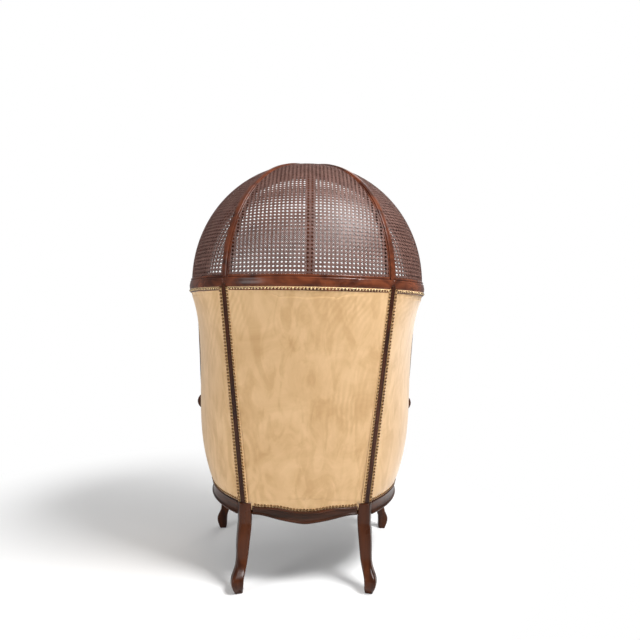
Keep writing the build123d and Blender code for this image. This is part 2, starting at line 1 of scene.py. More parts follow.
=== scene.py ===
import bmesh
import bpy
from math import atan2, cos, degrees, hypot, pi, radians, sin, sqrt
from mathutils import Matrix, Vector
from mathutils.bvhtree import BVHTree


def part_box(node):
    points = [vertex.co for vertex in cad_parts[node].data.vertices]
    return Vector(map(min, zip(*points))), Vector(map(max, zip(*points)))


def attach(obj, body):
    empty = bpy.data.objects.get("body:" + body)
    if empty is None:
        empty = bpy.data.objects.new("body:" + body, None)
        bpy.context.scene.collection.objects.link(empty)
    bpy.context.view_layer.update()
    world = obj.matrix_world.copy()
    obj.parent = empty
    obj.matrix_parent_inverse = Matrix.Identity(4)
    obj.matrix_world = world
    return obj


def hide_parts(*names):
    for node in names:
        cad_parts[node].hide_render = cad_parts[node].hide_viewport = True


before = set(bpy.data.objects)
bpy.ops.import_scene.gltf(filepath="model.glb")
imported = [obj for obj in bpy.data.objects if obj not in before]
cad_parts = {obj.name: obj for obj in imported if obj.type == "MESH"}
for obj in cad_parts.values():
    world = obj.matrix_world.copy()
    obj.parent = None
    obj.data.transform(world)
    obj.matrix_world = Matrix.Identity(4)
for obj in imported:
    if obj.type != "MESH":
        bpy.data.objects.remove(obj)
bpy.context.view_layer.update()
scene = bpy.context.scene


# The view: from behind the chair, close to its middle line and level with the upper part of its walls.
# A pale floor and a white surround, so that only the chair and its shadow show.
camera_place = (0.0299, 2.1906, 0.9439)
camera_bearing = pi - 0.0359
camera_tilt = pi / 2 - 0.0093
camera_roll = 0.016
camera = bpy.data.objects.new("camera", bpy.data.cameras.new("camera"))
scene.collection.objects.link(camera)
camera.data.lens = 32.41
camera.data.sensor_width = 36
camera.matrix_world = (Matrix.Translation(camera_place) @ Matrix.Rotation(camera_bearing, 4, "Z")
                       @ Matrix.Rotation(camera_tilt, 4, "X") @ Matrix.Rotation(camera_roll, 4, "Z"))
scene.camera = camera
scene.view_settings.view_transform = "Standard"


def link(tree, source, target):
    """Joins an output socket to an input socket."""
    tree.links.new(source, target)


def new_node(tree, kind, **settings):
    """A shader node with its settings."""
    item = tree.nodes.new(kind)
    for key, value in settings.items():
        setattr(item, key, value)
    return item


def new_object(name, mesh):
    """An object at the origin that holds a finished mesh."""
    item = bpy.data.objects.new(name, mesh)
    scene.collection.objects.link(item)
    return item


def store(work, name, smooth=None):
    """Turns a finished bmesh into an object, rounded off in shading below an angle."""
    mesh = bpy.data.meshes.new(name)
    work.to_mesh(mesh)
    work.free()
    if smooth is not None:
        for face in mesh.polygons:
            face.use_smooth = True
        mesh.set_sharp_from_angle(angle=radians(smooth))
    return new_object(name, mesh)


floor_size = 9
floor_shade = (0.88, 0.88, 0.88, 1)
floor_glow = 0.10
shadow_middle = (0.40, -0.50, 0)
shadow_near, shadow_far = 0.70, 1.45
floor_work = bmesh.new()
bmesh.ops.create_grid(floor_work, x_segments=2, y_segments=2, size=floor_size)
floor_sheet = store(floor_work, "floor_sheet")
floor_white = bpy.data.materials.new("floor_white")
floor_white.use_nodes = True
tree = floor_white.node_tree
tree.nodes.clear()
floor_out = new_node(tree, "ShaderNodeOutputMaterial")
floor_sum = new_node(tree, "ShaderNodeAddShader")
floor_matt = new_node(tree, "ShaderNodeBsdfDiffuse")
floor_matt.inputs["Color"].default_value = floor_shade
floor_lift = new_node(tree, "ShaderNodeEmission")
floor_ray = new_node(tree, "ShaderNodeLightPath")
floor_share = new_node(tree, "ShaderNodeMath", operation="MULTIPLY")
floor_share.inputs[1].default_value = floor_glow
link(tree, floor_ray.outputs["Is Camera Ray"], floor_share.inputs[0])
link(tree, floor_share.outputs[0], floor_lift.inputs["Strength"])
link(tree, floor_matt.outputs[0], floor_sum.inputs[0])
link(tree, floor_lift.outputs[0], floor_sum.inputs[1])
floor_place = new_node(tree, "ShaderNodeTexCoord")
floor_middle = new_node(tree, "ShaderNodeVectorMath", operation="SUBTRACT")
floor_middle.inputs[1].default_value = shadow_middle
floor_run = new_node(tree, "ShaderNodeVectorMath", operation="LENGTH")
floor_fade = new_node(tree, "ShaderNodeMapRange", interpolation_type="SMOOTHSTEP")
floor_fade.inputs["From Min"].default_value = shadow_near
floor_fade.inputs["From Max"].default_value = shadow_far
floor_seen = new_node(tree, "ShaderNodeMath", operation="MULTIPLY")
floor_plain = new_node(tree, "ShaderNodeEmission")
floor_mix = new_node(tree, "ShaderNodeMixShader")
link(tree, floor_place.outputs["Object"], floor_middle.inputs[0])
link(tree, floor_middle.outputs[0], floor_run.inputs[0])
link(tree, floor_run.outputs["Value"], floor_fade.inputs["Value"])
link(tree, floor_fade.outputs["Result"], floor_seen.inputs[0])
link(tree, floor_ray.outputs["Is Camera Ray"], floor_seen.inputs[1])
link(tree, floor_seen.outputs[0], floor_mix.inputs[0])
link(tree, floor_sum.outputs[0], floor_mix.inputs[1])
link(tree, floor_plain.outputs[0], floor_mix.inputs[2])
link(tree, floor_mix.outputs[0], floor_out.inputs["Surface"])
floor_sheet.data.materials.append(floor_white)

world = bpy.data.worlds.new("surround")
scene.world = world
world.use_nodes = True
tree = world.node_tree
tree.nodes.clear()
world_out = new_node(tree, "ShaderNodeOutputWorld")
world_mix = new_node(tree, "ShaderNodeMixShader")
world_dim = new_node(tree, "ShaderNodeBackground")
world_dim.inputs["Color"].default_value = (1, 1, 1, 1)
world_dim.inputs["Strength"].default_value = 0.31
world_white = new_node(tree, "ShaderNodeBackground")
world_white.inputs["Color"].default_value = (1, 1, 1, 1)
world_ray = new_node(tree, "ShaderNodeLightPath")
link(tree, world_ray.outputs["Is Camera Ray"], world_mix.inputs[0])
link(tree, world_dim.outputs[0], world_mix.inputs[1])
link(tree, world_white.outputs[0], world_mix.inputs[2])
link(tree, world_mix.outputs[0], world_out.inputs["Surface"])


def soft_lamp(name, place, aim, width, height, power):
    """A soft box that faces the chair."""
    lamp = bpy.data.lights.new(name, "AREA")
    lamp.shape = "RECTANGLE"
    lamp.size, lamp.size_y = width, height
    lamp.energy = power
    item = bpy.data.objects.new(name, lamp)
    scene.collection.objects.link(item)
    way = Vector(aim) - Vector(place)
    item.matrix_world = Matrix.Translation(place) @ way.to_track_quat("-Z", "Y").to_matrix().to_4x4()


soft_lamp("top_lamp", (-1.6, 1.4, 3.5), (0, 0, 0.2), 1.2, 1.2, 165)
soft_lamp("left_lamp", (2.6, 2.1, 1.5), (0, 0, 0.8), 1.2, 1.6, 38)
soft_lamp("far_lamp", (-0.8, -3.0, 2.4), (0, 0, 0.8), 2.0, 2.0, 22)


# Show-wood: carved and moulded beech or mahogany, stained dark and polished, glued and dowelled together.
# Most edges are eased a little. The grain runs up the posts and legs and along the rails.
def spread_group(name, inputs, outputs):
    """An empty node group with named inputs and outputs."""
    group = bpy.data.node_groups.new(name, "ShaderNodeTree")
    for label, kind, value in inputs:
        socket = group.interface.new_socket(label, in_out="INPUT", socket_type=kind)
        socket.default_value = value
    for label, kind in outputs:
        group.interface.new_socket(label, in_out="OUTPUT", socket_type=kind)
    return group, new_node(group, "NodeGroupInput"), new_node(group, "NodeGroupOutput")


grain, ask, give = spread_group(
    "wood_grain",
    (("Light", "NodeSocketColor", (0.2, 0.05, 0.02, 1)),
     ("Dark", "NodeSocketColor", (0.05, 0.01, 0.005, 1)),
     ("Stretch", "NodeSocketVector", (18, 18, 2))),
    (("Color", "NodeSocketColor"), ("Roughness", "NodeSocketFloat"), ("Height", "NodeSocketFloat")))
place = new_node(grain, "ShaderNodeTexCoord")
stretch = new_node(grain, "ShaderNodeMapping")
figure = new_node(grain, "ShaderNodeTexNoise")
figure.inputs["Scale"].default_value = 1.6
figure.inputs["Detail"].default_value = 6
figure.inputs["Distortion"].default_value = 0.7
pores = new_node(grain, "ShaderNodeTexNoise")
pores.inputs["Scale"].default_value = 22
pores.inputs["Detail"].default_value = 3
wear = new_node(grain, "ShaderNodeTexNoise")
wear.inputs["Scale"].default_value = 9
wear.inputs["Detail"].default_value = 4
tone = new_node(grain, "ShaderNodeMapRange")
tone.inputs["From Min"].default_value = 0.34
tone.inputs["From Max"].default_value = 0.68
shade = new_node(grain, "ShaderNodeMix", data_type="RGBA")
polish = new_node(grain, "ShaderNodeMapRange")
polish.inputs["To Min"].default_value = 0.20
polish.inputs["To Max"].default_value = 0.38
link(grain, place.outputs["Object"], stretch.inputs["Vector"])
link(grain, ask.outputs["Stretch"], stretch.inputs["Scale"])
link(grain, stretch.outputs["Vector"], figure.inputs["Vector"])
link(grain, stretch.outputs["Vector"], pores.inputs["Vector"])
link(grain, place.outputs["Object"], wear.inputs["Vector"])
link(grain, figure.outputs["Fac"], tone.inputs["Value"])
link(grain, tone.outputs["Result"], shade.inputs["Factor"])
link(grain, ask.outputs["Dark"], shade.inputs[6])
link(grain, ask.outputs["Light"], shade.inputs[7])
link(grain, wear.outputs["Fac"], polish.inputs["Value"])
link(grain, shade.outputs[2], give.inputs["Color"])
link(grain, polish.outputs["Result"], give.inputs["Roughness"])
link(grain, pores.outputs["Fac"], give.inputs["Height"])


def new_finish(name):
    """A material, its node tree and its surface shader."""
    material = bpy.data.materials.new(name)
    material.use_nodes = True
    return material, material.node_tree, material.node_tree.nodes["Principled BSDF"]


def polished_wood(name, light, dark, stretch_by, coat):
    """Stained and polished wood with its grain stretched along one direction."""
    material, tree, shader = new_finish(name)
    pattern = new_node(tree, "ShaderNodeGroup", node_tree=grain)
    pattern.inputs["Light"].default_value = (*light, 1)
    pattern.inputs["Dark"].default_value = (*dark, 1)
    pattern.inputs["Stretch"].default_value = stretch_by
    relief = new_node(tree, "ShaderNodeBump")
    relief.inputs["Strength"].default_value = 0.08
    relief.inputs["Distance"].default_value = 0.0006
    link(tree, pattern.outputs["Color"], shader.inputs["Base Color"])
    link(tree, pattern.outputs["Roughness"], shader.inputs["Roughness"])
    link(tree, pattern.outputs["Height"], relief.inputs["Height"])
    link(tree, relief.outputs["Normal"], shader.inputs["Normal"])
    shader.inputs["Specular IOR Level"].default_value = 0.18
    shader.inputs["Coat Weight"].default_value = coat
    shader.inputs["Coat Roughness"].default_value = 0.12
    return material


upright_grain = (18, 18, 2)
level_grain = (3, 3, 26)
canopy_grain = (9, 9, 14)
upright_wood = polished_wood("mahogany_upright", (0.074, 0.020, 0.006), (0.020, 0.005, 0.002),
                             upright_grain, 0.04)
level_wood = polished_wood("mahogany_level", (0.066, 0.020, 0.008), (0.018, 0.006, 0.002),
                           level_grain, 0.08)
canopy_wood = polished_wood("mahogany_canopy", (0.170, 0.044, 0.017), (0.045, 0.011, 0.005),
                            canopy_grain, 0.12)


weld_gap = 0.00002
flat_angle = 0.8


def joined_copy(node):
    """A bmesh with a CAD node's shape, its loose triangles joined."""
    work = bmesh.new()
    work.from_mesh(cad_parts[node].data)
    bmesh.ops.remove_doubles(work, verts=work.verts, dist=weld_gap)
    return work


def eased_wood(node, easing, material, sharp):
    """A wooden piece with its edges sharper than an angle rounded over by the easing."""
    work = joined_copy(node)
    if easing:
        bmesh.ops.dissolve_limit(work, angle_limit=radians(flat_angle), verts=work.verts, edges=work.edges)
        hard = [edge for edge in work.edges if edge.is_manifold and edge.calc_face_angle() > radians(sharp)]
        bmesh.ops.bevel(work, geom=hard, offset=easing, offset_type="OFFSET", segments=2, profile=0.5,
                        affect="EDGES", clamp_overlap=True, material=-1)
        bmesh.ops.triangulate(work, faces=work.faces, ngon_method="EAR_CLIP")
    piece = store(work, f"{node}_wood", smooth=32)
    piece.data.materials.append(material)
    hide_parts(node)
    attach(piece, "root")
    return piece


# Each row: the piece, how far its edges are eased, its wood, and the angle past which an edge is eased.
# The arch and the canopy rail keep the crisp edges of their moulding.
paired_wood = (
    ("rear_post", 0.0012, upright_wood, 50),
    ("front_leg", 0.0012, upright_wood, 50),
    ("side_rail", 0.0010, level_wood, 50),
    ("arm_rail", 0.0045, upright_wood, 38),
    ("arm_support", 0.0045, upright_wood, 38),
    ("canopy_rail", 0, canopy_wood, 38),
    ("canopy_rib", 0.0050, canopy_wood, 38),
)
middle_wood = (
    ("back_rail", 0.0045, level_wood, 50),
    ("front_rail", 0.0045, level_wood, 50),
    ("canopy_rail_back", 0, canopy_wood, 38),
    ("canopy_arch", 0, canopy_wood, 38),
    ("crown_block", 0.0020, canopy_wood, 38),
    ("canopy_lath", 0.0015, canopy_wood, 38),
)
for side in ("left", "right"):
    for name, easing, wood, sharp in paired_wood:
        eased_wood(f"{name}_{side}", easing, wood, sharp)
for name, easing, wood, sharp in middle_wood:
    eased_wood(name, easing, wood, sharp)


# Cane: two layers of six-way hand weaving, stained to match the wood, on the curve of the dome.
# Pairs of strands run up and across, and single strands slant both ways through the gaps of the pairs.
# The dome's foot is a circle about canopy_y, and its lines rise to the crest of the arch over crest_y.
canopy_y = -0.05925
crest_y = canopy_y - 0.055
cane_foot = 1.063
cane_rise = 0.466
cane_radius = 0.440
cane_setback = 0.055
cane_pitch = 0.0136
inner_row_pitch = 0.0132
cane_tuck = 0.005
pair_share = 0.115
strand_width = 0.0019
slant_width = strand_width * 0.8
strand_thickness = 0.0007
weave_lift = 0.0004
slant_lift = 0.0008
layer_gap = 0.016
face_depth = 0.0012
post_bearing = radians(38.8)
post_radius = 0.444
rib_bearing = atan2(post_radius * cos(post_bearing) + cane_setback, post_radius * sin(post_bearing))


def cane_reach(bearing):
    """How far the outer cane runs at its foot, from under the crest along a bearing."""
    return cane_setback * sin(bearing) + sqrt(cane_radius ** 2 - (cane_setback * cos(bearing)) ** 2)


def cane_height(x, y, depth):
    """Height of the cane over a plan place, at a depth behind the outer face."""
    run = hypot(x, y - crest_y)
    lap = min(run / (cane_reach(atan2(y - crest_y, x)) - depth), 1.0)
    return cane_foot + (cane_rise - depth) * sqrt(1 - lap * lap)


def even_run(path, pitch, start):
    """Places at an even pitch along a path, from a start measured along it."""
    places = []
    want = start
    gone = 0.0
    for one, two in zip(path, path[1:]):
        length = (two - one).length
        while length and want <= gone + length:
            places.append(one.lerp(two, (want - gone) / length))
            want += pitch
        gone += length
    return places


def cane_line(fixed, across, depth, row_pitch):
    """Points up the dome in one upright plane, half a pitch apart, from just inside the canopy rail."""
    radius = cane_radius - depth
    if across:
        rim = sqrt(radius ** 2 - (fixed - canopy_y) ** 2)
        last = 0.0
    else:
        rim = canopy_y + sqrt(radius ** 2 - fixed ** 2)
        last = crest_y
    samples = 240
    path = []
    for step in range(samples + 1):
        run = last + (rim - last) * cos(step / samples * pi / 2)
        x, y = (run, fixed) if across else (fixed, run)
        path.append(Vector((x, y, cane_height(x, y, depth))))
    path[0].z = cane_foot
    return [path[0] - Vector((0, 0, cane_tuck))] + even_run(path, row_pitch / 2, 0.0)


def cane_table(across, depth, first, last, row_pitch):
    """The lines up the dome at every half pitch between two places."""
    return {half: cane_line(half * cane_pitch / 2, across, depth, row_pitch)
            for half in range(first, last + 1)}


def strand(work, places, ways, width):
    """One flat strand along its places; each way is the outward direction there."""
    sides = []
    for index, spot in enumerate(places):
        ahead = places[min(index + 1, len(places) - 1)] - places[max(index - 1, 0)]
        side = ahead.cross(ways[index]).normalized() * (width / 2)
        sides.append((work.verts.new(spot - side), work.verts.new(spot + side)))
    for one, two in zip(sides, sides[1:]):
        work.faces.new((one[0], one[1], two[1], two[0]))


def outward(table, half, row):
    """Outward direction and the direction across the lines, at a place of the table."""
    line = table[half]
    other = table.get(half + 1) or table[half - 1]
    sign = 1 if half + 1 in table else -1
    row = min(row, len(line) - 1)
    near = min(row, len(other) - 1)
    across = (other[near] - line[row]) * sign
    along = line[min(row + 1, len(line) - 1)] - line[max(row - 1, 0)]
    way = across.cross(along).normalized()
    centre = Vector((0, crest_y, cane_foot))
    if way.dot(line[row] - centre) < 0:
        way = -way
    return way, across.normalized()


def weave(name, node, across, depth, row_pitch, first, last, cuts, mirrored):
    """A field of cane: pairs up, pairs across and both slants, cut off at the ribs."""
    table = cane_table(across, depth, first, last, row_pitch)
    pair_offsets = (-pair_share * cane_pitch, pair_share * cane_pitch)
    work = bmesh.new()
    for half in range(first + first % 2, last + 1, 2):
        line = table[half]
        frames = [outward(table, half, row) for row in range(len(line))]
        for offset in pair_offsets:
            places = []
            for row, spot in enumerate(line):
                wave = (0, weave_lift, 0, -weave_lift)[(row - 1 + half) % 4]
                places.append(spot + frames[row][1] * offset + frames[row][0] * wave)
            strand(work, places, [way for way, _ in frames], strand_width)
    rows = max(len(line) for line in table.values())
    for row in range(1, rows, 2):
        run = [half for half in sorted(table) if len(table[half]) > row]
        if len(run) < 2:
            continue
        frames = [outward(table, half, row) for half in run]
        for offset in pair_offsets:
            places = []
            for half, (way, _) in zip(run, frames):
                line = table[half]
                up = (line[min(row + 1, len(line) - 1)] - line[row - 1]).normalized()
                wave = (0, -weave_lift, 0, weave_lift)[(row - 1 + half) % 4]
                places.append(line[row] + up * offset + way * wave)
            strand(work, places, [way for way, _ in frames], strand_width)
    for slant, edge in ((1, first), (-1, last)):
        starts = [(half, 1) for half in range(first, last + 1) if half % 2 == 1]
        starts += [(edge, row) for row in range(2, rows) if (edge + row) % 2 == 0]
        for half, row in starts:
            places, ways = [], []
            while half in table and row < len(table[half]):
                way, _ = outward(table, half, row)
                places.append(table[half][row] + way * (slant_lift * slant))
                ways.append(way)
                half += slant
                row += 1
            if len(places) > 1:
                strand(work, places, ways, slant_width)
    for point, direction in cuts:
        bmesh.ops.bisect_plane(work, geom=work.verts[:] + work.edges[:] + work.faces[:], plane_co=point,
                               plane_no=direction, clear_outer=True)
    if mirrored:
        bmesh.ops.scale(work, vec=(-1, 1, 1), verts=work.verts)
        bmesh.ops.reverse_faces(work, faces=work.faces)
    piece = store(work, name)
    thick = piece.modifiers.new("thickness", "SOLIDIFY")
    thick.thickness = strand_thickness
    thick.offset = 0
    piece.data.materials.append(cane_stain)
    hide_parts(node)
    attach(piece, "root")


cane_stain, tree, shader = new_finish("cane_stain")
place = new_node(tree, "ShaderNodeTexCoord")
patch = new_node(tree, "ShaderNodeTexNoise")
patch.inputs["Scale"].default_value = 34
patch.inputs["Detail"].default_value = 4
tint = new_node(tree, "ShaderNodeMix", data_type="RGBA")
tint.inputs[6].default_value = (0.085, 0.034, 0.024, 1)
tint.inputs[7].default_value = (0.250, 0.135, 0.110, 1)
link(tree, place.outputs["Object"], patch.inputs["Vector"])
link(tree, patch.outputs["Fac"], tint.inputs["Factor"])
link(tree, tint.outputs[2], shader.inputs["Base Color"])
shader.inputs["Roughness"].default_value = 0.5

back_half_width = 0.29
arch_gap = 0.004
arch_cover = 0.014
side_run = 0.352
crest = Vector((0, crest_y, 0))
arch_back = crest + Vector((0, arch_cover, 0))
left_of_rib = Vector((sin(rib_bearing), -cos(rib_bearing), 0))
right_of_rib = Vector((-left_of_rib.x, left_of_rib.y, 0))
back_cuts = ((crest, left_of_rib), (crest, right_of_rib))
side_cuts = ((crest, -left_of_rib), (arch_back, Vector((0, -1, 0))))
back_last = int(back_half_width / cane_pitch * 2)
side_first = int((crest_y + arch_gap) / cane_pitch * 2)
side_last = int((canopy_y + side_run) / cane_pitch * 2)
cane_layers = (("cane_panel", face_depth, cane_pitch),
               ("inner_cane", layer_gap + face_depth, inner_row_pitch))
for layer, depth, row_pitch in cane_layers:
    weave(f"{layer}_back_weave", f"{layer}_back", False, depth, row_pitch, -back_last, back_last, back_cuts,
          False)
    for side, mirrored in (("left", False), ("right", True)):
        weave(f"{layer}_{side}_weave", f"{layer}_{side}", True, depth, row_pitch, side_first, side_last,
              side_cuts, mirrored)


# Binding: a strip of split cane pegged over the edge of the weave, along both sides of each rib
# and along the top of the canopy rail.
def join_rings(work, rings, closed):
    """The walls between rings of points that follow one another, with both ends capped on an open run."""
    following = rings[1:] + rings[:1] if closed else rings[1:]
    for one, two in zip(rings, following):
        for k in range(len(one)):
            near = (k + 1) % len(one)
            work.faces.new((one[k], one[near], two[near], two[k]))
    if not closed:
        work.faces.new(rings[0][::-1])
        work.faces.new(rings[-1])
    bmesh.ops.recalc_face_normals(work, faces=work.faces)


def binding_strip(name, places, ways, width, height, material):
    """A half-round strip that follows its places, proud of them in the outward ways."""
    work = bmesh.new()
    facets = 6
    rings = []
    for index, spot in enumerate(places):
        ahead = places[min(index + 1, len(places) - 1)] - places[max(index - 1, 0)]
        side = ahead.cross(ways[index]).normalized()
        ring = []
        for turn in range(facets + 1):
            angle = pi * turn / facets
            rise = ways[index] * (sin(angle) * height)
            ring.append(work.verts.new(spot + side * (cos(angle) * width / 2) + rise))
        rings.append(ring)
    join_rings(work, rings, closed=False)
    piece = store(work, name, smooth=50)
    piece.data.materials.append(material)
    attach(piece, "root")


def meridian(offset_way, offset, bearing, start, stop):
    """Places and outward ways up the dome beside a bearing from the crest."""
    places, ways = [], []
    reach = cane_reach(bearing)
    steps = 40
    for step in range(steps + 1):
        rise = radians(start + (stop - start) * step / steps)
        run = reach * cos(rise)
        way = Vector((cos(bearing) * cos(rise) * cane_rise, sin(bearing) * cos(rise) * cane_rise,
                      sin(rise) * reach)).normalized()
        spot = Vector((run * cos(bearing), crest_y + run * sin(bearing), cane_foot + cane_rise * sin(rise)))
        places.append(spot + offset_way * offset)
        ways.append(way)
    return places, ways


rib_side = 0.0125
rib_binding_width, rib_binding_height = 0.0062, 0.0024
rib_binding_start, rib_binding_stop = 1.0, 83.0
for side, sign in (("left", 1), ("right", -1)):
    bearing = rib_bearing if sign > 0 else pi - rib_bearing
    beside = Vector((-sin(bearing), cos(bearing), 0))
    for label, offset in (("inner", rib_side * sign), ("outer", -rib_side * sign)):
        places, ways = meridian(beside, offset, bearing, rib_binding_start, rib_binding_stop)
        binding_strip(f"rib_binding_{label}_{side}", places, ways, rib_binding_width, rib_binding_height,
                      canopy_wood)

rim_radius = 0.4405
rim_height = cane_foot + 0.0045
rim_lean = 0.25
rim_binding_width, rim_binding_height = 0.0085, 0.0034
rim_steps = 60
for name, start, stop in (("back", 53.0, 127.0), ("left", 0.0, 49.6), ("right", 130.4, 180.0)):
    places, ways = [], []
    for step in range(rim_steps + 1):
        bearing = radians(start + (stop - start) * step / rim_steps)
        places.append(Vector((rim_radius * cos(bearing), canopy_y + rim_radius * sin(bearing), rim_height)))
        ways.append(Vector((cos(bearing), sin(bearing), rim_lean)).normalized())
    binding_strip(f"rim_binding_{name}", places, ways, rim_binding_width, rim_binding_height, canopy_wood)


# Suede: brushed nubuck with swirled hand marks, drawn tight over wadding and tacked to the frame.
# The outer back and sides are single skins; the inside is stuffed.
nap, ask, give = spread_group(
    "suede_nap",
    (("Light", "NodeSocketColor", (0.8, 0.6, 0.4, 1)),
     ("Dark", "NodeSocketColor", (0.6, 0.4, 0.2, 1))),
    (("Color", "NodeSocketColor"), ("Height", "NodeSocketFloat")))
place = new_node(nap, "ShaderNodeTexCoord")
cloud = new_node(nap, "ShaderNodeTexNoise")
cloud.inputs["Scale"].default_value = 6.5
cloud.inputs["Detail"].default_value = 10
cloud.inputs["Roughness"].default_value = 0.68
cloud.inputs["Distortion"].default_value = 0.6
sweep = new_node(nap, "ShaderNodeMapping")
sweep.inputs["Scale"].default_value = (17, 17, 6)
sweep.inputs["Rotation"].default_value = (0.3, 0.9, 0.2)
stroke = new_node(nap, "ShaderNodeTexNoise")
stroke.inputs["Scale"].default_value = 1.0
stroke.inputs["Detail"].default_value = 6
stroke.inputs["Distortion"].default_value = 1.6
stroke_edge = new_node(nap, "ShaderNodeMapRange", interpolation_type="SMOOTHSTEP")
stroke_edge.inputs["From Min"].default_value = 0.36
stroke_edge.inputs["From Max"].default_value = 0.58
cloud_edge = new_node(nap, "ShaderNodeMapRange")
cloud_edge.inputs["From Min"].default_value = 0.25
cloud_edge.inputs["From Max"].default_value = 0.62
blend = new_node(nap, "ShaderNodeMix", data_type="FLOAT")
blend.inputs["Factor"].default_value = 0.36
arc_place = new_node(nap, "ShaderNodeMapping")
arc_place.inputs["Location"].default_value = (0.62, 0, -0.62)
arc_place.inputs["Scale"].default_value = (1, 0.3, 1)
arcs = new_node(nap, "ShaderNodeTexWave", wave_type="RINGS", rings_direction="Y")
arcs.inputs["Scale"].default_value = 19
arcs.inputs["Distortion"].default_value = 3.2
arcs.inputs["Detail"].default_value = 3
arcs.inputs["Detail Scale"].default_value = 1.4
arc_patch = new_node(nap, "ShaderNodeTexNoise")
arc_patch.inputs["Scale"].default_value = 3.3
arc_patch.inputs["Detail"].default_value = 2
arc_mask = new_node(nap, "ShaderNodeMapRange", interpolation_type="SMOOTHSTEP")
arc_mask.inputs["From Min"].default_value = 0.50
arc_mask.inputs["From Max"].default_value = 0.66
arc_mask.inputs["To Max"].default_value = 0.34
arc_dark = new_node(nap, "ShaderNodeMath", operation="MULTIPLY")
arc_keep = new_node(nap, "ShaderNodeMath", operation="SUBTRACT")
arc_keep.inputs[0].default_value = 1.0
handled = new_node(nap, "ShaderNodeMath", operation="MULTIPLY")
nap_tone = new_node(nap, "ShaderNodeMix", data_type="RGBA")
fuzz = new_node(nap, "ShaderNodeTexNoise")
fuzz.inputs["Scale"].default_value = 500
fuzz.inputs["Detail"].default_value = 2
link(nap, place.outputs["Object"], cloud.inputs["Vector"])
link(nap, place.outputs["Object"], sweep.inputs["Vector"])
link(nap, sweep.outputs["Vector"], stroke.inputs["Vector"])
link(nap, place.outputs["Object"], arc_place.inputs["Vector"])
link(nap, arc_place.outputs["Vector"], arcs.inputs["Vector"])
link(nap, place.outputs["Object"], arc_patch.inputs["Vector"])
link(nap, place.outputs["Object"], fuzz.inputs["Vector"])
link(nap, cloud.outputs["Fac"], cloud_edge.inputs["Value"])
link(nap, stroke.outputs["Fac"], stroke_edge.inputs["Value"])
link(nap, arc_patch.outputs["Fac"], arc_mask.inputs["Value"])
link(nap, arcs.outputs["Fac"], arc_dark.inputs[0])
link(nap, arc_mask.outputs["Result"], arc_dark.inputs[1])
link(nap, arc_dark.outputs[0], arc_keep.inputs[1])
link(nap, cloud_edge.outputs["Result"], blend.inputs[2])
link(nap, stroke_edge.outputs["Result"], blend.inputs[3])
link(nap, blend.outputs[0], handled.inputs[0])
link(nap, arc_keep.outputs[0], handled.inputs[1])
link(nap, handled.outputs[0], nap_tone.inputs["Factor"])
link(nap, ask.outputs["Dark"], nap_tone.inputs[6])
link(nap, ask.outputs["Light"], nap_tone.inputs[7])
link(nap, nap_tone.outputs[2], give.inputs["Color"])
link(nap, fuzz.outputs["Fac"], give.inputs["Height"])


def brushed_suede(name, light, dark):
    """Suede in two tones of its nap."""
    material, tree, shader = new_finish(name)
    pattern = new_node(tree, "ShaderNodeGroup", node_tree=nap)
    pattern.inputs["Light"].default_value = (*light, 1)
    pattern.inputs["Dark"].default_value = (*dark, 1)
    relief = new_node(tree, "ShaderNodeBump")
    relief.inputs["Strength"].default_value = 0.2
    relief.inputs["Distance"].default_value = 0.0003
    link(tree, pattern.outputs["Color"], shader.inputs["Base Color"])
    link(tree, pattern.outputs["Height"], relief.inputs["Height"])
    link(tree, relief.outputs["Normal"], shader.inputs["Normal"])
    shader.inputs["Roughness"].default_value = 0.9
    shader.inputs["Specular IOR Level"].default_value = 0.2
    shader.inputs["Sheen Weight"].default_value = 0.45
    shader.inputs["Sheen Roughness"].default_value = 0.4
    return material


suede = brushed_suede("suede_tan", (0.71, 0.475, 0.255), (0.495, 0.295, 0.128))
skin_step = 0.02
skin_swell = 0.0025
skins = {}


def suede_skin(node, cut_ways):
    """An outer skin with an even net of cuts both ways, standing a little fuller than its solid."""
    work = joined_copy(node)
    low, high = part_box(node)
    for axis in cut_ways:
        way = Vector([1.0 if k == axis else 0.0 for k in range(3)])
        count = int((high[axis] - low[axis]) / skin_step)
        for k in range(1, count):
            point = way * (low[axis] + (high[axis] - low[axis]) * k / count)
            bmesh.ops.bisect_plane(work, geom=work.verts[:] + work.edges[:] + work.faces[:], plane_co=point,
                                   plane_no=way)
    for vert in work.verts:
        away = Vector((vert.co.x, vert.co.y - canopy_y, 0)).normalized()
        outer = [face for face in vert.link_faces if face.normal.dot(away) > 0.6]
        if outer:
            vert.co += away * skin_swell
    bmesh.ops.triangulate(work, faces=work.faces)
    piece = store(work, f"{node}_suede", smooth=40)
    piece.data.materials.append(suede)
    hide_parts(node)
    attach(piece, "root")
    skins[node] = piece


suede_skin("outer_back_panel", (0, 2))
suede_skin("outer_side_panel_left", (1, 2))
suede_skin("outer_side_panel_right", (1, 2))


def settled_mesh(piece):
    """The mesh of a piece as its modifiers leave it, with the modifiers taken off."""
    mesh = bpy.data.meshes.new_from_object(piece.evaluated_get(bpy.context.evaluated_depsgraph_get()))
    piece.modifiers.clear()
    return mesh


